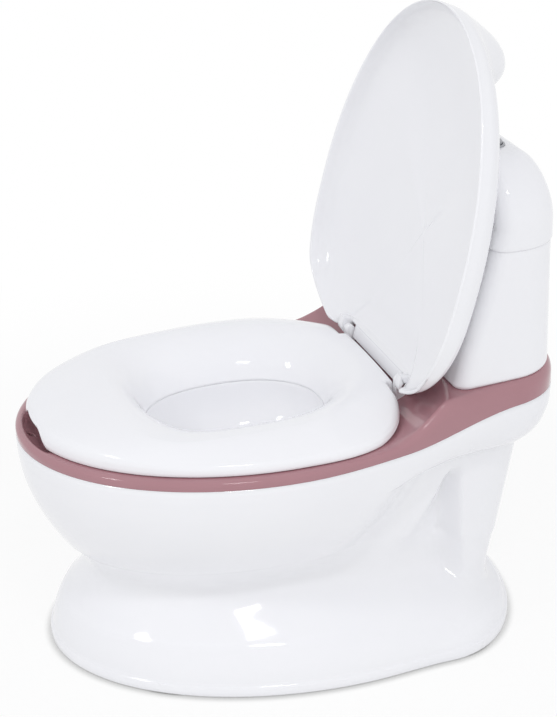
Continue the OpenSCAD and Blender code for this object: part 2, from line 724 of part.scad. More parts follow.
module lid() {
    low = [for (p = lid_outline) rim_level(p)];
    color(white) translate([0, hinge_y, hinge_z]) rotate([-lid_open, 0, 0]) difference() {
        union() {
            skin(concat(
                [for (i = hollow) lid_ring(i, lid_wall)],
                [at_heights(inset(lid_outline, lid_wall), low), at_heights(lid_outline, low)],
                [for (i = [0:len(crown) - 1]) lid_ring(i, 0)]),
                capped = true);
            for (side = [-1, 1]) lid_ear(side);
        }
        for (side = [-1, 1]) translate([side * ear_x, 0, 0]) rotate([0, 90, 0])
            cylinder(d = pin_d + 2 * hinge_clear, h = ear_w + 2 * eps, center = true);
    }
}

// Ear of the lid that turns on one hinge pin
module lid_ear(side) {
    arm_l = lid_wall - lid_cut;
    translate([side * ear_x, 0, 0]) rotate([0, 90, 0]) cylinder(d = ear_d, h = ear_w, center = true);
    translate([side * ear_x - ear_w / 2, -arm_l, 0]) cube([ear_w, arm_l, ear_d / 2]);
}

// Tank with a leaning front, on screws from under the plinth
tank_spots = [for (p = [[tank_w / 2 - tank_rear_r, tank_front + tank_lean + boss_d],
    [tank_w / 4, tank_rear - 2 * boss_d]]) [p.x, p.y, deck_top(p)]];
// Length of each screw under the plinth's top
tank_grip = deck_wall + 2;
function tank_half(t, d) = inset(half_box(tank_w / 2 - tank_draft * t, tank_front + tank_lean * t,
    tank_rear, tank_front_r, tank_rear_r), d);

function on_plinth(half, d) = at_heights(half, [for (p = half) deck_z + sweep(p.y) + d]);

module tank() {
    color(white) difference() {
        union() {
            skin([on_plinth(tank_half(0, 0), joint_gap), at_z(tank_half(1, 0), tank_top),
                at_z(tank_half(1, wall), tank_top), on_plinth(tank_half(0, wall), wall)], capped = true);
            mirrored_spots(tank_spots) translate([0, 0, wall / 2]) cylinder(d = boss_d, h = thread_h + wall);
        }
        mirrored_spots(tank_spots) translate([0, 0, -wall])
            cylinder(d = screw_d + 2 * seat_clear, h = wall + thread_h + 1);
    }
}

module tank_screws() {
    color(steel) mirrored_spots(tank_spots) translate([0, 0, -tank_grip]) screw(tank_grip + thread_h);
}

// Cover outline at share s of its shoulders, moved inward by d
cover_front = tank_front + tank_lean - cover_over;
cover_rear = tank_rear + cover_over;
cover_lean = 4;
rear_round = 1.4;
function cover_half(s, lean, d) = inset(half_box(
    tank_w / 2 - tank_draft + cover_over - s * shoulder_w,
    cover_front + cover_lean * lean + s * shoulder_front,
    cover_rear - s * shoulder_rear,
    tank_front_r + cover_over - s * shoulder_front,
    tank_rear_r + cover_over - rear_round * s * shoulder_rear), d);

button_y = (cover_front + cover_lean + shoulder_front + cover_rear - shoulder_rear) / 2;
sleeve_wall = wall / 2;
sleeve_l = button_l + 2 * (button_clear + sleeve_wall);
sleeve_w = button_w + 2 * (button_clear + sleeve_wall);

module tank_cover() {
    straight = cover_top - shoulder_h;
    shoulders = [for (t = [0:18:90]) [1 - cos(t), sin(t)]];
    lip_out = wall + lip_gap + cover_over;
    color(white) difference() {
        skin(concat(
            [for (t = [90:-30:0])
                at_z(cover_half(1 - cos(t), 1, wall), straight + (shoulder_h - wall) * sin(t))],
            [at_z(cover_half(0, 0, lip_out + wall / 2), tank_top - cover_lip),
                at_z(cover_half(0, 0, lip_out), tank_top - cover_lip),
                at_z(cover_half(0, 0, lip_out), tank_top), at_z(cover_half(0, 0, 0), tank_top)],
            [for (s = shoulders) at_z(cover_half(s[0], 1, 0), straight + shoulder_h * s[1])]),
            capped = true);
        translate([0, button_y, cover_top - 2 * wall])
            oblong(sleeve_l + 2 * seat_clear, sleeve_w + 2 * seat_clear, 3 * wall);
    }
}

module button_bezel() {
    color(steel) translate([0, button_y, 0]) difference() {
        union() {
            translate([0, 0, cover_top]) oblong(button_l + 2 * (button_clear + bezel_rim),
                button_w + 2 * (button_clear + bezel_rim), bezel_h);
            translate([0, 0, cover_top - sleeve_h]) oblong(sleeve_l, sleeve_w, sleeve_h + eps);
        }
        translate([0, 0, cover_top - sleeve_h - eps])
            oblong(button_l + 2 * button_clear, button_w + 2 * button_clear, sleeve_h + bezel_h + 2 * eps);
    }
}

keeper_z = cover_top - sleeve_h - lift_gap - keeper_h;
module flush_button() {
    low = keeper_z + keeper_h;
    color(steel) translate([0, button_y, low])
        oblong(button_l, button_w, button_top - low);
}

module button_keeper() {
    color(grey) translate([0, button_y, keeper_z]) oblong(sleeve_l, sleeve_w, keeper_h);
}

base_shell();
foot_pad_1();
foot_pad_2();
foot_pad_3();
foot_pad_4();
deck();
deck_screws();
hinge_pin_left();
hinge_pin_right();
pot();
seat();
lid();
tank();
tank_screws();
tank_cover();
button_bezel();
flush_button();
button_keeper();
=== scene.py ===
from math import asin, cos, pi, radians, sin, sqrt

import bmesh
import bpy
from mathutils import Matrix, Vector


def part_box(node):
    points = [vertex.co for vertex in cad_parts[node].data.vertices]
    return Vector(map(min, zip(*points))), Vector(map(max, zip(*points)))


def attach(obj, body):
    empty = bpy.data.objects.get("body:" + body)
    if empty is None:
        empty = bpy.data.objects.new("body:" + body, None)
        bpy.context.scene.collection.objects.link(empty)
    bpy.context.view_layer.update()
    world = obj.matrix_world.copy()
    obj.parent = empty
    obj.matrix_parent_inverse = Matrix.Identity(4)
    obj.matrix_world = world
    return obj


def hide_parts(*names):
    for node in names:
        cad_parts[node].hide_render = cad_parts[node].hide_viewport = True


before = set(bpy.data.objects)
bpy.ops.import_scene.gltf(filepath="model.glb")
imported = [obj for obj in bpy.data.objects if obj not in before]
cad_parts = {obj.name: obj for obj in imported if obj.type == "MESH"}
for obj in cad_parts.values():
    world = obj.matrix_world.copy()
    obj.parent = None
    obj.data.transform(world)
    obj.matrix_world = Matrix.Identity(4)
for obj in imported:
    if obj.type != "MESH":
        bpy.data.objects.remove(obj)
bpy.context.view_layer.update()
scene = bpy.context.scene
mm = 0.001  # sizes below are in millimetres, meshes in metres
quarter = pi / 2
print("frame loaded:", len(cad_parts), "nodes")


def clamp(t):
    return min(1.0, max(0.0, t))


def ease(t):
    c = clamp(t)
    return c * c * (3 - 2 * c)


def mix(a, b, t):
    return a + (b - a) * t


def softRamp(t, soft):  # straight ramp, its ends rounded by a running mean
    taps = (-1, -0.67, -0.33, 0, 0.33, 0.67, 1)
    return sum(clamp(t + soft * s) for s in taps) / len(taps)


def smoothMax(a, b, soft):
    return 0.5 * (a + b + sqrt((a - b) ** 2 + soft * soft))


def spread(count, first=0.0, last=1.0):
    return [mix(first, last, i / (count - 1)) for i in range(count)]


def along(table, u):  # smooth curve through a table's rows
    top = len(table) - 1
    i = min(int(u), top - 1)
    t = u - i
    a, b, c, d = [Vector(table[min(max(j, 0), top)]) for j in range(i - 1, i + 3)]
    return b + 0.5 * t * (c - a + t * (2 * a - 5 * b + 4 * c - d + t * (3 * (b - c) + d - a)))


# Materials

def linearColour(hexCode):
    def channel(c):
        return c / 12.92 if c <= 0.04045 else ((c + 0.055) / 1.055) ** 2.4
    return tuple(channel(int(hexCode[i:i + 2], 16) / 255) for i in (1, 3, 5)) + (1.0,)


def addNode(tree, kind, values=None, links=None, **settings):
    node = tree.nodes.new(kind)
    for key, value in settings.items():
        setattr(node, key, value)
    for key, value in (values or {}).items():
        node.inputs[key].default_value = value
    for key, source in (links or {}).items():
        tree.links.new(source, node.inputs[key])
    return node


def mouldedPlastic(name, look):
    material = bpy.data.materials.new(name)
    material.use_nodes = True
    tree = material.node_tree
    shader = tree.nodes["Principled BSDF"]
    shader.inputs["IOR"].default_value = look["ior"]
    shader.inputs["Metallic"].default_value = look.get("metallic", 0.0)
    place = addNode(tree, "ShaderNodeTexCoord").outputs["Object"]

    def noise(size, detail):
        values = {"Scale": 1 / (look[size] * mm), "Detail": detail}
        return addNode(tree, "ShaderNodeTexNoise", values, {"Vector": place}).outputs["Fac"]

    # flow of the melt: broad pale and dark clouds
    colours = {"A": linearColour(look["colour"]), "B": linearColour(look["shade"])}
    tint = addNode(tree, "ShaderNodeMix", colours, {"Factor": noise("flowSize", 2.0)}, data_type="RGBA")
    tree.links.new(tint.outputs["Result"], shader.inputs["Base Color"])
    # polish of the tool: gloss changes a little from place to place
    smoothest, roughest = look["roughness"]
    gloss = addNode(tree, "ShaderNodeMapRange", {"To Min": smoothest, "To Max": roughest},
                    {"Value": noise("polishSize", 3.0)})
    tree.links.new(gloss.outputs["Result"], shader.inputs["Roughness"])
    # skin: a shallow wave left by shrinking, and a finer peel
    broad = addNode(tree, "ShaderNodeBump", {"Strength": 1.0, "Distance": look["waveDepth"] * mm},
                    {"Height": noise("waveSize", 1.0)})
    skin = addNode(tree, "ShaderNodeBump", {"Strength": 1.0, "Distance": look["peelDepth"] * mm},
                   {"Height": noise("peelSize", 2.0), "Normal": broad.outputs["Normal"]})
    tree.links.new(skin.outputs["Normal"], shader.inputs["Normal"])
    return material


# Glossy injection-moulded polypropylene: bright, slightly cool white with soft-edged window reflections
whitePolypropylene = mouldedPlastic("whitePolypropylene", {
    "colour": "#F9F9FB", "shade": "#F6F6F9", "ior": 1.49, "roughness": (0.05, 0.09), "flowSize": 60,
    "polishSize": 25, "waveSize": 38, "waveDepth": 0.08, "peelSize": 3.0, "peelDepth": 0.002})
# The same resin with a dusty-rose pigment: a little darker where the pigment settled
rosePolypropylene = mouldedPlastic("rosePolypropylene", {
    "colour": "#B2838A", "shade": "#AA7B82", "ior": 1.55, "roughness": (0.06, 0.1), "flowSize": 45,
    "polishSize": 18, "waveSize": 30, "waveDepth": 0.05, "peelSize": 2.5, "peelDepth": 0.002})
# ABS with a silver flake: satin grey, a soft metal sheen on the button and its bezel
silverAbs = mouldedPlastic("silverAbs", {
    "colour": "#A9AAAE", "shade": "#9C9DA2", "ior": 1.5, "metallic": 0.55, "roughness": (0.28, 0.36),
    "flowSize": 6, "polishSize": 5, "waveSize": 12, "waveDepth": 0.02, "peelSize": 1.2, "peelDepth": 0.004})
# Thermoplastic rubber: matt grey, grippy, with a fine grain drawn coarse enough to show
greyRubber = mouldedPlastic("greyRubber", {
    "colour": "#77777A", "shade": "#6A6A6E", "ior": 1.5, "roughness": (0.7, 0.85), "flowSize": 8,
    "polishSize": 4, "waveSize": 6, "waveDepth": 0.05, "peelSize": 0.8, "peelDepth": 0.03})
# Zinc-plated steel: bright grey metal for pins and screws
zincSteel = mouldedPlastic("zincSteel", {
    "colour": "#B9BABD", "shade": "#A8AAAE", "ior": 1.45, "metallic": 1.0, "roughness": (0.25, 0.38),
    "flowSize": 4, "polishSize": 2, "waveSize": 5, "waveDepth": 0.01, "peelSize": 0.7, "peelDepth": 0.004})
print("materials ready")


# Outlines: each is the right half, from the front's middle to the rear's middle

outline = {"front": 41, "side": 81, "tail": 17, "tailGap": 4, "corner": 23, "rear": 7, "eggFront": 65,
           "eggRear": 47, "rearPower": 3.0, "boxFlat": 8, "boxFront": 13, "boxRear": 19}
chair = {"frontY": -205.0, "rearY": 205.0, "wideY": -22.0, "columnY": 123.0, "hingeY": 83.0,
         "hingeZ": 207.0, "seamZ": 181.0, "seamRise": 18.0, "deckZ": 188.5, "bandZ": 153.0,
         "tankFront": 110.0, "tankRear": 197.0, "tankTop": 320.5, "coverTop": 382.5, "wall": 3.0}
hinge = Vector((0, chair["hingeY"], chair["hingeZ"]))


def frontArc(halfWide, front, wide, rows):
    return [Vector((halfWide * sin(t), wide - (wide - front) * cos(t))) for t in spread(rows, 0, quarter)]


def bodyHalf(halfWide, front, wide, rearHalf, cornerY, rear, cornerWide):
    tail = min(chair["columnY"], cornerY - outline["tailGap"])
    half = frontArc(halfWide, front, wide, outline["front"])
    sides = spread(outline["side"], wide, tail)[1:] + spread(outline["tail"], tail, cornerY)[1:]
    half += [Vector((mix(halfWide, rearHalf, ease((y - wide) / (cornerY - wide))), y)) for y in sides]
    half += [Vector((rearHalf - cornerWide * (1 - cos(t)), cornerY + (rear - cornerY) * sin(t)))
             for t in spread(outline["corner"], 0, quarter)[1:]]
    return half + [Vector((x, rear)) for x in spread(outline["rear"], rearHalf - cornerWide, 0)[1:]]


def eggHalf(halfWide, front, wide, close, cut):  # round front, fuller rear that is cut off square
    power = outline["rearPower"]
    turn = asin(((cut - wide) / (close - wide)) ** (power / 2))
    half = frontArc(halfWide, front, wide, outline["eggFront"])
    return half + [Vector((halfWide * cos(t) ** (2 / power), wide + (close - wide) * sin(t) ** (2 / power)))
                   for t in spread(outline["eggRear"], 0, turn)[1:]]


def boxHalf(halfWide, front, rear, frontR, rearR):
    flat = outline["boxFlat"]
    half = [Vector((x, front)) for x in spread(flat, 0, halfWide - frontR)[:-1]]
    half += [Vector((halfWide - frontR + frontR * sin(t), front + frontR - frontR * cos(t)))
             for t in spread(outline["boxFront"], 0, quarter)]
    half += [Vector((halfWide, y)) for y in spread(flat, front + frontR, rear - rearR)[1:-1]]
    half += [Vector((halfWide - rearR + rearR * cos(t), rear - rearR + rearR * sin(t)))
             for t in spread(outline["boxRear"], 0, quarter)]
    return half + [Vector((x, rear)) for x in spread(flat, halfWide - rearR, 0)[1:]]


def inset(half, d):  # by one distance, or by one for each point
    last = len(half) - 1
    steps = d if isinstance(d, list) else [d] * len(half)
    moved = []
    for i, p in enumerate(half):
        a = Vector((-half[1].x, half[1].y)) if i == 0 else half[i - 1]
        b = Vector((-half[last - 1].x, half[last - 1].y)) if i == last else half[i + 1]
        t = (b - a).normalized()
        moved.append(p - steps[i] * Vector((t.y, -t.x)))
    return moved


def level(half, heights):  # whole ring in 3-D from its right half
    if isinstance(heights, (int, float)):
        heights = [heights] * len(half)
    points = [Vector((p.x, p.y, z)) for p, z in zip(half, heights)]
    return points + [Vector((-p.x, p.y, p.z)) for p in points[-2:0:-1]]


def edgeRings(half, heights, steps):  # one ring for each step in and up
    return [level(inset(half, d), [z + up for z in heights]) for d, up in steps]


# Meshes: a ring of edges is extruded from level to level

meshing = {"weld": 1e-7, "relax": 0.5, "edgeSegments": 3, "edgeProfile": 0.5, "edgeAngle": 38}


def newVerts(geom):
    return [g for g in geom if isinstance(g, bmesh.types.BMVert)]


def newEdges(geom):  # those along the new row
    fresh = set(newVerts(geom))
    return [g for g in geom if isinstance(g, bmesh.types.BMEdge) and fresh.issuperset(g.verts)]


def loft(bm, rings, end="open", start="open"):
    spot = bm.verts.layers.int.get("spot") or bm.verts.layers.int.new("spot")
    row = bm.verts.layers.int.get("row") or bm.verts.layers.int.new("row")
    first = bmesh.ops.create_circle(bm, segments=len(rings[0]), radius=1.0)["verts"]
    for k, v in enumerate(first):
        v[spot], v[row], v.co = k, 0, rings[0][k] * mm
    edges = list({e for v in first for e in v.link_edges})
    firstEdges, verts = edges, first
    for r, ring in enumerate(rings[1:] + (rings[:1] if end == "loop" else []), 1):
        geom = bmesh.ops.extrude_edge_only(bm, edges=edges)["geom"]
        verts, edges = newVerts(geom), newEdges(geom)
        for v in verts:
            v[row], v.co = r, ring[v[spot]] * mm
    if end == "loop":
        bmesh.ops.remove_doubles(bm, verts=list(first) + verts, dist=meshing["weld"])
    for rim, how in ((edges, end), (firstEdges, start)):
        if how == "fill":
            face = bmesh.ops.edgeloop_fill(bm, edges=rim)["faces"]
            bmesh.ops.poke(bm, faces=face)
    return row


def relax(bm, verts, passes):
    for _ in range(passes):
        bmesh.ops.smooth_vert(bm, verts=verts, factor=meshing["relax"], use_axis_x=True, use_axis_y=True,
                              use_axis_z=True)


def peg(bm, diameter, depth, middle, segments=48):  # upright bar; depth and middle in metres
    radius = diameter / 2 * mm
    bmesh.ops.create_cone(bm, cap_ends=True, segments=segments, radius1=radius, radius2=radius, depth=depth,
                          matrix=Matrix.Translation(middle))


def finishPiece(name, bm, material, body, replaced=(), soften=0.0):
    bmesh.ops.recalc_face_normals(bm, faces=bm.faces)
    for face in bm.faces:
        face.smooth = True
    mesh = bpy.data.meshes.new(name)
    bm.to_mesh(mesh)
    bm.free()
    mesh.materials.append(material)
    piece = bpy.data.objects.new(name, mesh)
    scene.collection.objects.link(piece)
    if soften:
        edge = piece.modifiers.new("edge", "BEVEL")
        edge.width, edge.segments, edge.profile = soften * mm, meshing["edgeSegments"], meshing["edgeProfile"]
        edge.limit_method, edge.angle_limit = "ANGLE", radians(meshing["edgeAngle"])
        edge.use_clamp_overlap = True
    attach(piece, body)
    if replaced:
        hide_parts(*replaced)
    print("piece", name, len(mesh.polygons), "faces")
    return piece


# Base: lip, domed foot, neck, bowl, web, pocket, column and band in one skin

base = {"neckFrontZ": 66, "neckSideZ": 69, "neckRearZ": 26, "neckPower": 1.9, "footPower": 1.75,
        "bowlPower": 1.9, "bowlTop": 171, "bandRoom": 5, "lipTop": 9, "lipStep": 2, "columnLean": 30,
        "webAhead": 22, "webWide": 22, "webSlope": 0.8, "webBlend": 64, "webSoft": 0.24, "webZ": 94.2,
        "pocketDepth": 20, "edgeWide": 12, "leastRise": 0.01, "waistIn": -1, "waistY": 20, "waistL": 60,
        "seamY": 62, "seamL": 126, "domeStart": 0.012, "domeRows": 28, "bodyRows": 46, "bandRows": 16,
        "heldRows": 4, "smoothing": 8, "neckSmoothing": 60, "neckRows": 14,
        "band": {"halfWide": 139, "front": chair["frontY"], "wide": chair["wideY"], "rearHalf": 108,
                 "cornerY": 160, "rear": chair["rearY"], "cornerWide": 55},
        "foot": {"halfWide": 143, "front": -190, "wide": 20, "rearHalf": 138, "cornerY": 95, "rear": 182,
                 "cornerWide": 126},
        "neck": {"halfWide": 80, "front": -152, "wide": -40, "rearHalf": 86, "cornerY": 130, "rear": 158,
                 "cornerWide": 46}}
# in from the foot's outline, and height
lipSteps = [(1.4, 1.0), (0.4, 1.25), (0, 2.2), (0.1, 5.0), (0.35, 7.6), (0.8, 8.6), (1.5, 9.0)]
band, foot, neck = [bodyHalf(**base[part]) for part in ("band", "foot", "neck")]
neckFront, neckWide, neckRear = [base["neck"][place] for place in ("front", "wide", "rear")]
# fuller ahead of the web, where the smoothing draws the neck in
waist = [mix(p, q, 1 - ease((p.y - base["waistY"]) / base["waistL"]))
         for p, q in zip(neck, inset(neck, base["waistIn"]))]
leanL = neckRear - chair["columnY"]
column = [Vector((p.x, p.y + base["columnLean"] * max(0, p.y - chair["columnY"]) / leanL)) for p in neck]
seam = [chair["seamZ"] + chair["seamRise"] * ease((p.y - base["seamY"]) / base["seamL"]) for p in band]
bandTop = [z - base["bandRoom"] for z in seam]


def neckHeight(y):
    if y < neckWide:
        return mix(base["neckFrontZ"], base["neckSideZ"], ease((y - neckFront) / (neckWide - neckFront)))
    behind = (y - neckWide) / (neckRear - neckWide)
    return mix(base["neckSideZ"], base["neckRearZ"], behind ** base["neckPower"])


neckZ = [neckHeight(p.y) for p in neck]


def bodyPoint(k, z):
    fall = clamp((base["bowlTop"] - z) / (base["bowlTop"] - neckZ[k]))
    bowl = mix(band[k], waist[k], fall ** base["bowlPower"])
    stem = mix(waist[k], column[k], clamp((z - neckZ[k]) / (chair["bandZ"] - neckZ[k])))
    swell = clamp((z - chair["bandZ"]) / (bandTop[k] - chair["bandZ"]))
    back = mix(stem, band[k], sqrt(1 - (1 - swell) ** 2))
    webY = chair["hingeY"] - base["webAhead"] + base["webSlope"] * (z - base["webZ"])
    p = mix(bowl, back, softRamp((neck[k].y - webY) / base["webBlend"] + 1, base["webSoft"]))
    start = webY + base["webWide"]
    stop = max(chair["columnY"] - base["edgeWide"], start + base["leastRise"])
    rise = clamp((p.y - start) / (stop - start))
    drop = ease((chair["columnY"] - p.y) / base["edgeWide"])
    depth = base["pocketDepth"] * min(rise, drop) * ease((chair["bandZ"] - z) / base["edgeWide"])
    return Vector((max(0, p.x - depth), p.y))


bm = bmesh.new()
rings = [level(inset(foot, d), z) for d, z in lipSteps]
dome = inset(foot, base["lipStep"])
for t in spread(base["domeRows"], base["domeStart"], 1):
    rings.append(level([mix(a, b, t ** base["footPower"]) for a, b in zip(dome, waist)],
                       [mix(base["lipTop"], h, t) for h in neckZ]))
neckRow = len(rings) - 1
upper = [[mix(h, chair["bandZ"], t) for h in neckZ] for t in spread(base["bodyRows"])[1:]]
upper += [[mix(chair["bandZ"], h, t * t) for h in bandTop] for t in spread(base["bandRows"])[1:]]
rings += [level([bodyPoint(k, z) for k, z in enumerate(heights)], heights) for heights in upper]
rings.append(level(band, seam))
rowLayer = loft(bm, rings)
loose = [v for v in bm.verts if len(lipSteps) < v[rowLayer] < len(rings) - base["heldRows"]]
relax(bm, loose, base["smoothing"])
relax(bm, [v for v in loose if abs(v[rowLayer] - neckRow) <= base["neckRows"]], base["neckSmoothing"])
bmesh.ops.recalc_face_normals(bm, faces=bm.faces)
bmesh.ops.solidify(bm, geom=bm.faces[:], thickness=chair["wall"] * mm)
finishPiece("baseShell", bm, whitePolypropylene, "chair", ["base_shell"])

# Lugs for the deck's screws and sockets for the pads, inside the base
lug = {"screws": [(96.75, -110.3), (99.6, 120.5)], "wide": 15, "top": 169, "high": 4, "padWide": 28,
       "padTop": 9, "soften": 0.8}
bm = bmesh.new()
for node in ("foot_pad_1", "foot_pad_2", "foot_pad_3", "foot_pad_4"):
    low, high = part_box(node)
    middle = (Vector(low) + Vector(high)) / 2
    middle.z = (high[2] + lug["padTop"] * mm) / 2
    peg(bm, lug["padWide"], lug["padTop"] * mm - high[2], middle)
for x, y in lug["screws"]:
    for side in (-1, 1):
        peg(bm, lug["wide"], lug["high"] * mm, Vector((side * x, y, lug["top"] - lug["high"] / 2)) * mm)
finishPiece("baseLugs", bm, whitePolypropylene, "chair", soften=lug["soften"])


# Pot mouth: the deck's hole and the pot follow this egg

mouth = {"half": 89.0, "midY": -31.2, "front": 107.8, "rear": 88.2}
centre = Vector((0, mouth["midY"]))


def mouthToward(p, grow):
    d = p - centre
    semi = (mouth["front"] if d.y < 0 else mouth["rear"]) + grow
    return centre + d / sqrt((d.x / (mouth["half"] + grow)) ** 2 + (d.y / semi) ** 2)


# Two more ovals about the same middle: the seat's ridge and its throat
ridge = {"half": 99, "front": 100, "rear": 105, "frontPower": 5, "rearPower": 2.2}
throat = {"half": 53, "front": 72, "rear": 68, "frontPower": 2.3, "rearPower": 2.2}


def ovalToward(p, oval):
    d = p - centre
    semi, power = (oval["front"], oval["frontPower"]) if d.y < 0 else (oval["rear"], oval["rearPower"])
    size = (abs(d.x) / oval["half"]) ** power + (abs(d.y) / semi) ** power
    return centre + d / size ** (1 / power)


# Deck: rounded rim, ledge, finger scoop, hollow sweep up to the plinth

deck = {"rimRound": 5, "rimFrom": 0.5, "rimRows": 10, "rows": 44, "coveY": 65, "coveL": 45,
        "covePower": 1.8, "plinthH": 25, "plinthRise": 5, "scoopHalf": 42, "scoopDepth": 5, "scoopY": -187,
        "scoopL": 16, "thick": 3.9, "gap": 0.1, "drainY": -195, "drainD": 5, "drillL": 30, "drillSides": 32,
        "fillet": 4, "lead": 17, "leadX": 50, "leadL": 68, "holeRoom": 1, "collarRoom": 4, "collarH": 12,
        "underIn": 7.4, "underRows": 12, "lipIn": 3.4, "lipWide": 3, "lipDrop": 4}
rimSteps = [(0.5, 0), (0.12, 0.15), (0, 0.6)]  # in and up, at the joint


def rawSweep(p):  # starts further forward towards the sides, round the seat's rear
    lead = deck["lead"] * clamp((abs(p.x) - deck["leadX"]) / deck["leadL"]) ** 2
    up = deck["plinthH"] * clamp((p.y + lead - deck["coveY"]) / deck["coveL"]) ** deck["covePower"]
    behind = (p.y - chair["tankFront"]) / (chair["tankRear"] - chair["tankFront"])
    return up + deck["plinthRise"] * clamp(behind)


def sweep(p):  # its edges are rounded by a running mean
    taps = (-1, -0.5, 0, 0.5, 1)
    return sum(rawSweep(p + Vector((0, deck["fillet"] * s))) for s in taps) / len(taps)


def deckTop(p):
    scoop = deck["scoopDepth"] * (1 - ease((abs(p.x) - deck["scoopHalf"]) / deck["scoopL"] + 1))
    return chair["deckZ"] + sweep(p) - scoop * (1 - ease(abs(p.y - deck["scoopY"]) / deck["scoopL"]))


bm = bmesh.new()
joint = [z + deck["gap"] for z in seam]
rim = inset(band, deck["rimRound"])
rimTop = [chair["deckZ"] + sweep(p) for p in rim]
rings = edgeRings(band, joint, rimSteps)
for t in spread(deck["rimRows"], 0, quarter):
    half = inset(band, deck["rimRound"] * (1 - cos(t)))
    rings.append(level(half, [mix(z, top, mix(deck["rimFrom"], 1, sin(t))) for z, top in zip(joint, rimTop)]))
hole, collar = [[mouthToward(p, deck[room]) for p in band] for room in ("holeRoom", "collarRoom")]
for t in spread(deck["rows"])[1:]:
    row = [mix(a, b, t) for a, b in zip(rim, hole)]
    rings.append(level(row, [deckTop(p) for p in row]))
rings += [level(ring, chair["deckZ"] - deck["collarH"]) for ring in (hole, collar)]
under = inset(band, deck["underIn"])
for t in spread(deck["underRows"], 1, 0):
    row = [mix(a, b, t) for a, b in zip(under, collar)]
    rings.append(level(row, [deckTop(p) - deck["thick"] for p in row]))
lipLow = [z - deck["lipDrop"] for z in seam]
lipOuter, lipInner = inset(band, deck["lipIn"]), inset(band, deck["lipIn"] + deck["lipWide"])
rings += [level(lipInner, lipLow), level(lipOuter, lipLow), level(lipOuter, joint)]
loft(bm, rings, end="loop")
deckPiece = finishPiece("deckTop", bm, rosePolypropylene, "chair", ["deck"])

# Drain hole through the scoop
drill = bmesh.new()
drain = Vector((0, deck["drainY"], chair["deckZ"])) * mm
peg(drill, deck["drainD"], deck["drillL"] * mm, drain, deck["drillSides"])
drillMesh = bpy.data.meshes.new("drill")
drill.to_mesh(drillMesh)
drill.free()
drillPiece = bpy.data.objects.new("drill", drillMesh)
scene.collection.objects.link(drillPiece)
cut = deckPiece.modifiers.new("drain", "BOOLEAN")
cut.object, cut.operation, cut.solver = drillPiece, "DIFFERENCE", "EXACT"
bpy.context.view_layer.update()
drilled = bpy.data.meshes.new_from_object(deckPiece.evaluated_get(bpy.context.evaluated_depsgraph_get()))
deckPiece.modifiers.clear()
deckPiece.data = drilled
bpy.data.objects.remove(drillPiece)
print("drain hole cut:", len(drilled.polygons), "faces")


# Hinge: posts on the deck and ears on the lid, both round-headed blocks

pivot = {"postX": 53.6, "postW": 6.8, "postD": 7.4, "postRoot": 2, "postSoften": 0.8, "earX": 61.9,
         "earW": 8.4, "earD": 11, "earReach": 7.5, "earSoften": 0.7, "boreD": 6.4, "boreDepth": 3,
         "sides": 64, "tiny": 1e-6}


def roundHead(bm, x, wide, diameter, reach, direction):  # disc drawn out one way, then thickened along X
    radius = diameter / 2 * mm
    disc = bmesh.ops.create_circle(bm, segments=pivot["sides"], radius=radius, cap_ends=True)["verts"]
    bmesh.ops.rotate(bm, verts=disc, cent=(0, 0, 0), matrix=Matrix.Rotation(quarter, 3, "Y"))
    for v in disc:
        if v.co.dot(direction) > pivot["tiny"]:
            v.co += direction * (reach * mm - v.co.dot(direction))
    top = newVerts(bmesh.ops.extrude_face_region(bm, geom=[disc[0].link_faces[0]])["geom"])
    bmesh.ops.translate(bm, verts=top, vec=(wide * mm, 0, 0))
    bmesh.ops.translate(bm, verts=list(disc) + top, vec=((x - wide / 2) * mm, 0, 0))
    return list(disc) + top


bm = bmesh.new()
postH = hinge.z - chair["deckZ"] + pivot["postRoot"]
for side in (-1, 1):
    roundHead(bm, side * pivot["postX"], pivot["postW"], pivot["postD"], postH, Vector((0, 0, -1)))
bmesh.ops.translate(bm, verts=bm.verts, vec=hinge * mm)
finishPiece("hingePosts", bm, whitePolypropylene, "chair", soften=pivot["postSoften"])


# Pot: hangs on the deck by its flange; inside, it carries the seat's throat on as a round basin

pot = {"floorZ": 96.5, "flangeZ": 188.9, "wall": 2.5, "flange": 9, "floorShare": 0.5, "points": 160,
       "wallRows": 26, "lipZ": 175.3, "depth": 48, "basinRows": 24, "basinFrom": 0.06, "basinTo": 1.54,
       "basinPower": 0.8}
floorShares = [0.02, 0.3]
flangeOuter = [(0.6, 0), (0, 0.6), (0, 1.5), (1, 2.5)]  # in from its edge, up from its underside
flangeInner = [(-2, 0), (0.5, 0.15), (1.6, 0.6), (2.3, 1.4)]  # in from the mouth, down from its top
# share of the way from ridge to throat, and height
chute = [(0.45, 189.4), (0.7, 189), (0.76, 188), (0.84, 184), (0.92, 178.5)]
basinLip = [(3.1, 0), (1.5, 0.65), (0.1, 1.2), (-0.1, 1)]  # out from the throat, up from lipZ
spokes = [Vector((sin(t), mouth["midY"] - cos(t))) for t in spread(pot["points"] + 1, 0, 2 * pi)[:-1]]


def potRing(share, d, z):
    ring = [mouthToward(spoke, -d) for spoke in spokes]
    return [Vector((p.x * share, mouth["midY"] + (p.y - mouth["midY"]) * share, z)) for p in ring]


def ringToward(oval, grow, z):
    ring = []
    for spoke in spokes:
        p = ovalToward(spoke, oval)
        p += (p - centre).normalized() * grow
        ring.append(Vector((p.x, p.y, z)))
    return ring


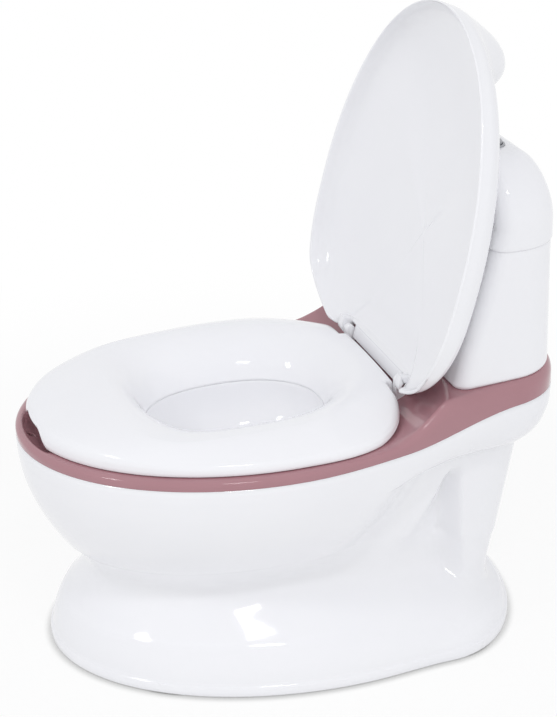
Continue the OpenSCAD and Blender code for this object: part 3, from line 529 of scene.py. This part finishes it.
bm = bmesh.new()
rings = [potRing(share, 0, pot["floorZ"]) for share in floorShares]
rings += [potRing(mix(pot["floorShare"], 1, sin(t)), 0, mix(pot["floorZ"], pot["flangeZ"], 1 - cos(t)))
          for t in spread(pot["wallRows"], 0, quarter)]
rings += [potRing(1, d - pot["flange"], pot["flangeZ"] + up) for d, up in flangeOuter]
rings += [potRing(1, d, pot["flangeZ"] + pot["wall"] - down) for d, down in flangeInner]
for share, z in chute:
    rings.append([mix(a, b, share) for a, b in zip(ringToward(ridge, 0, z), ringToward(throat, 0, z))])
rings += [ringToward(throat, out, pot["lipZ"] + up) for out, up in basinLip]
lipOut, lipUp = basinLip[-1]
for a in spread(pot["basinRows"], pot["basinFrom"], pot["basinTo"]):
    rings.append([mix(Vector((0, mouth["midY"], p.z)), p, cos(a) ** pot["basinPower"])
                  for p in ringToward(throat, lipOut, pot["lipZ"] + lipUp - pot["depth"] * sin(a))])
loft(bm, rings, end="fill", start="fill")
finishPiece("potBowl", bm, whitePolypropylene, "pot", ["pot"])


# Seat: ridge all round, funnel inside it, front ramp, finger notch, tongue between the hinge posts

seat = {"half": 132, "frontIn": 7.7, "closeIn": 2, "cutY": 74.6, "floorZ": 188.9, "sideH": 18.8,
        "frontH": 22, "rearH": 18.1, "rearX": 60, "rearL": 60, "throatZ": 176.7, "turn": 68, "wall": 2.6,
        "notchH": 9, "notchHalf": 14, "notchSoft": 22, "notchIn": 3, "tongueHalf": 49.6, "tongueY": 80.8,
        "tongueR": 1.6, "tongueFillet": 2, "rampY": -105, "rampL": 80, "sweepRoom": 6, "edgeH": 2,
        "edgeShare": 0.4, "outerRows": 48, "throatRows": 30, "innerRows": 7, "cutRows": 6, "tongueRows": 14,
        "smoothing": 3}
# share of the way to the ridge and share of the ridge's height
seatSide = [(0, 0.16), (0.02, 0.28), (0.06, 0.37), (0.117, 0.457), (0.27, 0.596), (0.43, 0.729),
            (0.63, 0.862), (0.8, 0.952), (0.92, 0.991), (1, 1)]
seatRamp = [(0, 0.18), (0.006, 0.32), (0.02, 0.43), (0.045, 0.54), (0.09, 0.635), (0.2, 0.73), (0.45, 0.86),
            (0.75, 0.965), (0.9, 0.993), (1, 1)]
seatRear = [(0, 0.45), (0.03, 0.68), (0.08, 0.82), (0.16, 0.9), (0.28, 0.95), (0.42, 0.978), (0.58, 0.991),
            (0.75, 0.997), (0.9, 1), (1, 1)]
seatEdge = [(1.6, 0), (0.8, 0.1), (0.2, 0.5), (0, 1.2)]  # in from the outline, up from the underside


def notchShare(p):
    return 1 - ease((abs(p.x) - seat["notchHalf"]) / seat["notchSoft"]) if p.y < chair["wideY"] else 0


def seatBottom(p):
    return seat["floorZ"] + rawSweep(p + Vector((0, seat["sweepRoom"]))) + seat["notchH"] * notchShare(p)


def seatShape(p, u):
    front = ease((seat["rampY"] - p.y) / seat["rampL"])
    rear = 1 - ease((p.x - seat["rearX"]) / seat["rearL"]) if p.y > 0 else 0
    side, ramp, back = along(seatSide, u), along(seatRamp, u), along(seatRear, u)
    shape = mix(Vector((side.x, side.y * seat["sideH"])), Vector((ramp.x, ramp.y * seat["frontH"])), front)
    return mix(shape, Vector((back.x, back.y * seat["rearH"])), rear)


seatHalf = [p + Vector((0, seat["notchIn"] * notchShare(p)))
            for p in eggHalf(seat["half"], chair["frontY"] + seat["frontIn"], chair["wideY"],
                             chair["hingeY"] - seat["closeIn"], seat["cutY"])]
side, fillet, corner = seat["tongueHalf"], seat["tongueFillet"], seat["tongueR"]
seatHalf += [Vector((x, seat["cutY"])) for x in spread(seat["cutRows"], seatHalf[-1].x, side + fillet)[1:]]
seatHalf += [Vector((side + fillet - fillet * sin(a), seat["cutY"] + fillet - fillet * cos(a)))
             for a in spread(seat["cutRows"], 0, quarter)[1:]]
seatHalf += [Vector((side - corner + corner * cos(a), seat["tongueY"] - corner + corner * sin(a)))
             for a in spread(seat["cutRows"], 0, quarter)]
seatHalf += [Vector((x, seat["tongueY"])) for x in spread(seat["tongueRows"], side - corner, 0)[1:]]
ridgeHalf, throatHalf = [[ovalToward(p, oval) for p in seatHalf] for oval in (ridge, throat)]
ridgeRow = len(seatSide) - 1


def seatRing(u, d):
    shapes = [seatShape(p, u) for p in seatHalf]
    row = [mix(a, b, s.x) for a, b, s in zip(inset(seatHalf, d), ridgeHalf, shapes)]
    lowest = [seatBottom(p) + seat["edgeH"] - seat["edgeShare"] * d for p in seatHalf]
    return level(row, [max(seat["floorZ"] + s.y - d, z) for s, z in zip(shapes, lowest)])


def throatRing(q, d):  # part of a round fall from the ridge, d under it
    a, full = radians(seat["turn"]) * q, radians(seat["turn"])
    row, heights = [], []
    for p, high, deep in zip(seatHalf, ridgeHalf, throatHalf):
        out = (high - deep).normalized()
        row.append(mix(high, deep, sin(a) / sin(full)) + out * (d * sin(a)))
        z = mix(seat["floorZ"] + seatShape(p, ridgeRow).y, seat["throatZ"], (1 - cos(a)) / (1 - cos(full)))
        heights.append(z - d * cos(a))
    return level(row, heights)


bm = bmesh.new()
seatLow = [seatBottom(p) for p in seatHalf]
rings = edgeRings(seatHalf, seatLow, seatEdge)
rings += [seatRing(u, 0) for u in spread(seat["outerRows"], 0, ridgeRow)]
rings += [throatRing(q, 0) for q in spread(seat["throatRows"])[1:]]
outerCount = len(rings)
rings += [throatRing(q, seat["wall"]) for q in spread(seat["innerRows"], 1, 0)]
rings += [seatRing(u, seat["wall"]) for u in range(ridgeRow - 1, 0, -1)]
rings += [level(inset(seatHalf, seat["wall"]), seatLow)]
rowLayer = loft(bm, rings, end="loop")
relax(bm, [v for v in bm.verts if len(seatEdge) < v[rowLayer] < outerCount - 1], seat["smoothing"])
finishPiece("seatRing", bm, whitePolypropylene, "seat", ["seat"])


# Lid: drawn shut about the hinge axis, then turned open

lid = {"half": 141, "front": -281.8, "wide": -105, "close": 7.5, "cut": 2.5, "midCut": -4.5, "midX": 57.4,
       "rim": -17.3, "depth": 35, "wall": 3, "frontWall": 1.1, "thinY": -195, "thinL": 60, "open": 105,
       "cornerLift": 6.5, "cornerL": 40, "axisLift": 2.5, "axisX": 58, "axisL": 22, "axisY": -40,
       "edgeRise": 1.2, "edgeSteps": 6, "turnSteps": 2, "blend": 3, "gripW": 104, "gripL": 80, "gripH": 30,
       "gripY": -246, "gripSlope": 1.3, "cutRows": 10, "midRows": 14, "innerRows": 40, "innerFrom": 1.6,
       "outerRows": 60, "outerFrom": 0.25, "smoothing": 14}
# share of the way out from the middle, and share of the depth
lidCrown = [(1, 0.02), (0.997, 0.16), (0.992, 0.3), (0.97, 0.45), (0.935, 0.57), (0.885, 0.68), (0.82, 0.77),
            (0.74, 0.84), (0.65, 0.9), (0.54, 0.945), (0.38, 0.98), (0.2, 1), (0.02, 1.005)]
# share of the wall, and up from the rim
lidEdge = [(1, 1.2), (0.9, 0.4), (0.7, 0), (0.3, 0), (0.1, 0.4), (0, 1.2)]
lidHalf = eggHalf(lid["half"], lid["front"], lid["wide"], lid["close"], lid["cut"])
cornerX, midX = lidHalf[-1].x, lid["midX"]
lidHalf += [Vector((x, mix(lid["midCut"], lid["cut"], ease((x - midX) / (cornerX - midX)))))
            for x in spread(lid["cutRows"], cornerX, midX)[1:]]
lidHalf += [Vector((x, lid["midCut"])) for x in spread(lid["midRows"], midX, 0)[1:]]
# thinner at the front, where the seat comes close under it
lidWall = [mix(lid["wall"], lid["frontWall"], ease((lid["thinY"] - p.y) / lid["thinL"])) for p in lidHalf]


def rimLevel(p):  # lifted at the rear corners, and up to the axis between the ears
    outer = lid["rim"] + lid["cornerLift"] * ease((p.y - lid["cut"]) / lid["cornerL"] + 1)
    if p.y <= lid["axisY"]:
        return outer
    return mix(outer, lid["axisLift"], 1 - ease((p.x - lid["axisX"]) / lid["axisL"]))


def lidRing(u, inside):
    share, high = along(lidCrown, u)
    middle = Vector((0, lid["wide"]))
    depths = [inside * d for d in lidWall]
    row = [mix(middle, p, share) for p in inset(lidHalf, depths)]
    turned = clamp(u / lid["turnSteps"])
    heights = []
    for p, edge, d in zip(row, lidHalf, depths):
        upright = clamp(u / lid["edgeSteps"]) * lid["edgeSteps"] * lid["edgeRise"]
        wallTop = rimLevel(edge) + upright + lid["wall"] * turned
        z = smoothMax(wallTop, lid["rim"] + high * lid["depth"], lid["blend"] * turned)
        away = sqrt((2 * p.x / lid["gripW"]) ** 2 + (2 * (p.y - lid["gripY"]) / lid["gripL"]) ** 2)
        grip = 0 if inside else lid["gripH"] * ease(lid["gripSlope"] * (1 - away))
        heights.append(z - d + grip)
    return level(row, heights)


bm = bmesh.new()
lidLow = [rimLevel(p) for p in lidHalf]
crownRow = len(lidCrown) - 1
rings = [lidRing(u, 1) for u in spread(lid["innerRows"], crownRow, lid["innerFrom"])]
for share, up in lidEdge:
    rings.append(level(inset(lidHalf, [share * d for d in lidWall]), [z + up for z in lidLow]))
outerStart = len(rings)
rings += [lidRing(u, 0) for u in spread(lid["outerRows"], lid["outerFrom"], crownRow)]
rowLayer = loft(bm, rings, end="fill", start="fill")
innerRows, outerRows = range(1, lid["innerRows"] - 1), range(outerStart + 1, len(rings) - 1)
relax(bm, [v for v in bm.verts if v[rowLayer] in innerRows or v[rowLayer] in outerRows], lid["smoothing"])
swing = Matrix.Translation(hinge * mm) @ Matrix.Rotation(radians(-lid["open"]), 4, "X")
bmesh.ops.transform(bm, matrix=swing, verts=bm.verts)
finishPiece("lidDish", bm, whitePolypropylene, "lid", ["lid"])

# Ears, each with a bore in its outer face for the pin
bm = bmesh.new()
for side in (-1, 1):
    ear = roundHead(bm, side * pivot["earX"], pivot["earW"], pivot["earD"], pivot["earReach"],
                    Vector((0, -1, 0)))
    boreFace = max({f for v in ear for f in v.link_faces}, key=lambda f: side * f.calc_center_median().x)
    bmesh.ops.inset_individual(bm, faces=[boreFace], thickness=(pivot["earD"] - pivot["boreD"]) / 2 * mm)
    for v in boreFace.verts[:]:  # the bore is round about the axis
        spoke = Vector((0, v.co.y, v.co.z)).normalized() * pivot["boreD"] / 2 * mm
        v.co.y, v.co.z = spoke.y, spoke.z
    sunk = bmesh.ops.extrude_face_region(bm, geom=[boreFace])["geom"]
    bmesh.ops.translate(bm, verts=newVerts(sunk), vec=(-side * pivot["boreDepth"] * mm, 0, 0))
    bmesh.ops.delete(bm, geom=[boreFace], context="FACES_ONLY")
bmesh.ops.transform(bm, matrix=swing, verts=bm.verts)
finishPiece("lidEars", bm, whitePolypropylene, "lid", soften=pivot["earSoften"])

# Curled edge between the ears, round the hinge axis when the lid is open
curl = {"half": 49, "thick": 1.3, "columns": 21, "rows": 25, "soften": 0.4}
# Y and Z from the axis
curlPath = [(1.0, -6.0), (1.8, -2.8), (2.5, -0.2), (3.1, 2.2), (3.7, 4.0), (4.6, 4.9)]
bm = bmesh.new()
columns = spread(curl["columns"], -curl["half"], curl["half"])
ends = [bm.verts.new((Vector((x, 0, 0)) + hinge) * mm) for x in columns]
edges = [bm.edges.new(pair) for pair in zip(ends, ends[1:])]
steps = [along(curlPath, u) for u in spread(curl["rows"], 0, len(curlPath) - 1)]
bmesh.ops.translate(bm, verts=ends, vec=Vector((0, steps[0].x, steps[0].y)) * mm)
for a, b in zip(steps, steps[1:]):
    geom = bmesh.ops.extrude_edge_only(bm, edges=edges)["geom"]
    edges = newEdges(geom)
    bmesh.ops.translate(bm, verts=newVerts(geom), vec=Vector((0, b.x - a.x, b.y - a.y)) * mm)
for face in bm.faces:
    if face.normal.y > 0:
        face.normal_flip()
bmesh.ops.solidify(bm, geom=bm.faces[:], thickness=curl["thick"] * mm)
finishPiece("lidCurl", bm, whitePolypropylene, "lid", soften=curl["soften"])


# Tank: box with a leaning front and round corners, its foot set a little into the deck

tank = {"half": 104, "draft": 1.5, "lean": 30, "frontR": 12, "rearR": 36, "foot": 4, "footRows": 8,
        "footLean": 0.02, "sunk": 0.6, "wallFrom": 0.06, "wallRows": 24, "topRound": 0.8}
tankEdge = [(0.25, 0.2), (0.9, 0), (3, 0), (3.2, 8)]  # in from the side, down from the top


def tankHalf(t, d):
    wide, front = tank["half"] - tank["draft"] * t, chair["tankFront"] + tank["lean"] * t
    return inset(boxHalf(wide, front, chair["tankRear"], tank["frontR"], tank["rearR"]), d)


bm = bmesh.new()
plinth = [chair["deckZ"] + rawSweep(p) for p in tankHalf(0, 0)]
rings = []
for a in spread(tank["footRows"], 0, quarter):
    half = tankHalf(tank["footLean"] * (1 - cos(a)), tank["foot"] * (1 - sin(a)))
    rings.append(level(half, [z - tank["sunk"] + tank["foot"] * (1 - cos(a)) for z in plinth]))
for t in spread(tank["wallRows"], tank["wallFrom"], 1):
    rings.append(level(tankHalf(t, 0), [mix(z, chair["tankTop"] - tank["topRound"], t) for z in plinth]))
rings += [level(tankHalf(1, d), chair["tankTop"] - down) for d, down in tankEdge]
loft(bm, rings, end="fill", start="fill")
finishPiece("tankBody", bm, whitePolypropylene, "chair", ["tank"])

# Tank cover: upright edge, then broad round shoulders
cover = {"over": 1.2, "lean": 4, "shoulderW": 44, "shoulderFront": 8, "shoulderRear": 22, "shoulderH": 47,
         "shoulderRows": 30, "shoulderFrom": 0.04, "rearRound": 1.4, "flat": 1.15, "edgeRows": 7,
         "crestY": 163.5}
coverEdge = [(5, 0.4), (1.2, 0.1), (0.4, 0.3), (0, 1.2)]  # in from the side, up from the tank
crestShares = [0.15, 0.4, 0.7]


def coverHalf(s, lean, d):
    wide = tank["half"] - tank["draft"] + cover["over"] - s * cover["shoulderW"]
    front = chair["tankFront"] + tank["lean"] - cover["over"] + cover["lean"] * lean
    front += s * cover["shoulderFront"]
    rear = chair["tankRear"] + cover["over"] - s * cover["shoulderRear"]
    frontR = tank["frontR"] + cover["over"] - s * cover["shoulderFront"]
    rearR = tank["rearR"] + cover["over"] - cover["rearRound"] * s * cover["shoulderRear"]
    return inset(boxHalf(wide, front, rear, frontR, rearR), d)


bm = bmesh.new()
straight = chair["coverTop"] - cover["shoulderH"]
edgeTop = chair["tankTop"] + coverEdge[-1][1]
rings = [level(coverHalf(0, 0, d), chair["tankTop"] + up) for d, up in coverEdge]
rings += [level(coverHalf(0, t, 0), mix(edgeTop, straight, t)) for t in spread(cover["edgeRows"])[1:]]
for a in spread(cover["shoulderRows"], cover["shoulderFrom"], quarter):
    half = coverHalf(1 - cos(a) ** cover["flat"], 1, 0)
    rings.append(level(half, straight + cover["shoulderH"] * sin(a) ** cover["flat"]))
crest = Vector((0, cover["crestY"]))
rings += [level([mix(p, crest, s) for p in coverHalf(1, 1, 0)], chair["coverTop"]) for s in crestShares]
loft(bm, rings, end="fill", start="fill")
finishPiece("tankCover", bm, whitePolypropylene, "chair", ["tank_cover"])


# Flush button in its bezel

button = {"long": 94, "wide": 14, "midY": 163.5, "proud": 3, "bezelRim": 2.2, "bezelH": 1.5, "gap": 0.3,
          "sunk": 0.3, "shoulder": 1.6, "roundW": 1.8, "roundH": 1.4, "roundRows": 7, "flatRows": 10,
          "endRows": 25}
bezelOuter = [(0, 0.9), (0.25, 0.3), (0.9, 0)]  # in from the side, down from the top
bezelInner = [(0.7, 0), (0.15, 0.25), (0, 0.8)]  # out from the gap, down from the top
buttonSkirt = [(-0.3, 7), (0, 6.6)]  # out from the side, down from the cover's top
buttonCrown = [(-4, 0.05), (-6.8, 0)]  # out from the side, down from the top


def oblong(grow, z):  # straight sides, round ends
    reach, r, midY = (button["long"] - button["wide"]) / 2, button["wide"] / 2 + grow, button["midY"]
    half = [Vector((x, midY - r)) for x in spread(button["flatRows"], 0, reach)[:-1]]
    half += [Vector((reach + r * sin(a), midY - r * cos(a))) for a in spread(button["endRows"], 0, pi)]
    half += [Vector((x, midY + r)) for x in spread(button["flatRows"], reach, 0)[1:]]
    return level(half, z)


bm = bmesh.new()
lowZ, topZ = chair["coverTop"] - button["sunk"], chair["coverTop"] + button["bezelH"]
rings = [oblong(button["bezelRim"], lowZ)]
rings += [oblong(button["bezelRim"] - d, topZ - down) for d, down in bezelOuter]
rings += [oblong(button["gap"] + d, topZ - down) for d, down in bezelInner]
rings += [oblong(button["gap"], lowZ)]
loft(bm, rings, end="loop")
finishPiece("buttonBezel", bm, silverAbs, "chair", ["button_bezel"])

bm = bmesh.new()
topZ += button["proud"]
shoulderZ = topZ - button["shoulder"]
rings = [oblong(d, chair["coverTop"] - down) for d, down in buttonSkirt]
rings += [oblong(-button["roundW"] * (1 - cos(a)), shoulderZ + button["roundH"] * sin(a))
          for a in spread(button["roundRows"], 0, quarter)]
rings += [oblong(d, topZ - down) for d, down in buttonCrown]
loft(bm, rings, end="fill", start="fill")
finishPiece("flushButton", bm, silverAbs, "button", ["flush_button"])


# Nodes that keep their own solids get their finish here

finishes = {"foot_pad": greyRubber, "deck_screws": zincSteel, "tank_screws": zincSteel,
            "hinge_pin": zincSteel, "button_keeper": silverAbs}
for name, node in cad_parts.items():
    for start, material in finishes.items():
        if name.startswith(start):
            node.data.materials.clear()
            node.data.materials.append(material)
print("carried nodes finished")


# Studio: pale floor, soft lamps, white surroundings

studio = {"ambient": 0.72, "sky": "#F8F9FC", "floor": "#F8F8F7", "floorR": 6.0, "floorSides": 96,
          "near": 0.86, "nearR": 0.34, "farR": 0.75, "contact": 7, "contactShade": 0.75, "contactFrom": 0.2,
          "contactTo": 0.95, "contactSamples": 8}
white = (1, 1, 1, 1)


def seenBy(tree, *rays):  # 1 for rays that see the studio, 0 for those that only light the object
    path = addNode(tree, "ShaderNodeLightPath")
    seen = path.outputs[rays[0]]
    for ray in rays[1:]:
        links = {0: seen, 1: path.outputs[ray]}
        seen = addNode(tree, "ShaderNodeMath", links=links, operation="MAXIMUM").outputs[0]
    return seen


world = bpy.data.worlds.new("studio")
scene.world = world
world.use_nodes = True
tree = world.node_tree
tree.nodes.clear()
seen = seenBy(tree, "Is Camera Ray", "Is Glossy Ray", "Is Transmission Ray")
dim = addNode(tree, "ShaderNodeBackground",
              {"Color": linearColour(studio["sky"]), "Strength": studio["ambient"]})
bright = addNode(tree, "ShaderNodeBackground", {"Color": white, "Strength": 1.0})
both = addNode(tree, "ShaderNodeMixShader", links={0: seen, 1: dim.outputs[0], 2: bright.outputs[0]})
addNode(tree, "ShaderNodeOutputWorld", links={"Surface": both.outputs[0]})

paper = bpy.data.materials.new("studioPaper")  # matt white paper sweep
paper.use_nodes = True
tree = paper.node_tree
tree.nodes.clear()
seen = seenBy(tree, "Is Camera Ray", "Is Glossy Ray")
place = addNode(tree, "ShaderNodeTexCoord").outputs["Object"]
reach = addNode(tree, "ShaderNodeVectorMath", links={0: place}, operation="LENGTH")
# the shadow shows near the object and fades out to plain white
show = addNode(tree, "ShaderNodeMapRange",
               {"From Min": studio["nearR"], "From Max": studio["farR"],
                "To Min": studio["near"], "To Max": 1.0},
               {"Value": reach.outputs["Value"]}, interpolation_type="SMOOTHSTEP")
share = addNode(tree, "ShaderNodeMath", links={0: seen, 1: show.outputs["Result"]}, operation="MULTIPLY")
# painted contact shadow: a thin dark line where the foot meets the floor, the floor's glow dimmed by ambient
# occlusion
contactOcclusion = addNode(tree, "ShaderNodeAmbientOcclusion", {"Distance": studio["contact"] * mm},
               samples=studio["contactSamples"])
paintedContactShade = addNode(tree, "ShaderNodeMapRange",
                  {"From Min": studio["contactFrom"], "From Max": studio["contactTo"],
                   "To Min": 1 - studio["contactShade"], "To Max": 1.0}, {"Value": contactOcclusion.outputs["AO"]})
matt = addNode(tree, "ShaderNodeBsdfDiffuse", {"Color": linearColour(studio["floor"])})
# the glow's strength carries the painted contact shadow
glow = addNode(tree, "ShaderNodeEmission", {"Color": white}, {"Strength": paintedContactShade.outputs["Result"]})
both = addNode(tree, "ShaderNodeMixShader",
               links={0: share.outputs[0], 1: matt.outputs[0], 2: glow.outputs[0]})
addNode(tree, "ShaderNodeOutputMaterial", links={"Surface": both.outputs[0]})
bm = bmesh.new()
bmesh.ops.create_circle(bm, segments=studio["floorSides"], radius=studio["floorR"], cap_ends=True)
floorMesh = bpy.data.meshes.new("floor")
bm.to_mesh(floorMesh)
bm.free()
floorMesh.materials.append(paper)
floor = bpy.data.objects.new("floor", floorMesh)
scene.collection.objects.link(floor)


def softbox(name, place, target, size, power, shows=True):  # metres and watts
    lamp = bpy.data.lights.new(name, "AREA")
    lamp.shape, lamp.size, lamp.size_y, lamp.energy = "RECTANGLE", size[0], size[1], power
    thing = bpy.data.objects.new(name, lamp)
    thing.location = place
    thing.rotation_euler = (Vector(target) - Vector(place)).to_track_quat("-Z", "Y").to_euler()
    thing.visible_glossy = shows
    scene.collection.objects.link(thing)


softbox("frontWindow", (0.56, -1.82, 1.95), (0, -0.05, 0.2), (0.3, 0.42), 5)
softbox("sideWindow", (1.53, -0.16, 2.36), (0, -0.05, 0.1), (0.42, 0.17), 5)
softbox("sideFill", (1.85, 0.45, 1.3), (0, 0, 0.15), (1.6, 1.3), 6, shows=False)
softbox("frontFill", (0.3, -1.7, 1.8), (0, 0, 0.15), (1.4, 1.2), 3.5, shows=False)

# Camera, fitted to the photograph
view = {"azimuth": 71.612, "elevation": 24.5365, "roll": -1.3013, "distance": 1.55029,
        "target": (0, 0.00353, 0.21596), "lens": 99.89, "sensor": 36}
a, e, r = radians(view["azimuth"]), radians(view["elevation"]), radians(view["roll"])
back = Vector((sin(a) * cos(e), -cos(a) * cos(e), sin(e)))
right = Vector((cos(a), sin(a), 0))
up = back.cross(right)
sideways, upright = right * cos(r) + up * sin(r), up * cos(r) - right * sin(r)
camera = bpy.data.objects.new("camera", bpy.data.cameras.new("camera"))
camera.data.lens, camera.data.sensor_width, camera.data.sensor_fit = view["lens"], view["sensor"], "AUTO"
camera.matrix_world = Matrix.Translation(Vector(view["target"]) + back * view["distance"]) @ Matrix(
    (sideways, upright, back)).transposed().to_4x4()
scene.collection.objects.link(camera)
scene.camera = camera
scene.view_settings.view_transform = "Standard"
print("studio ready")
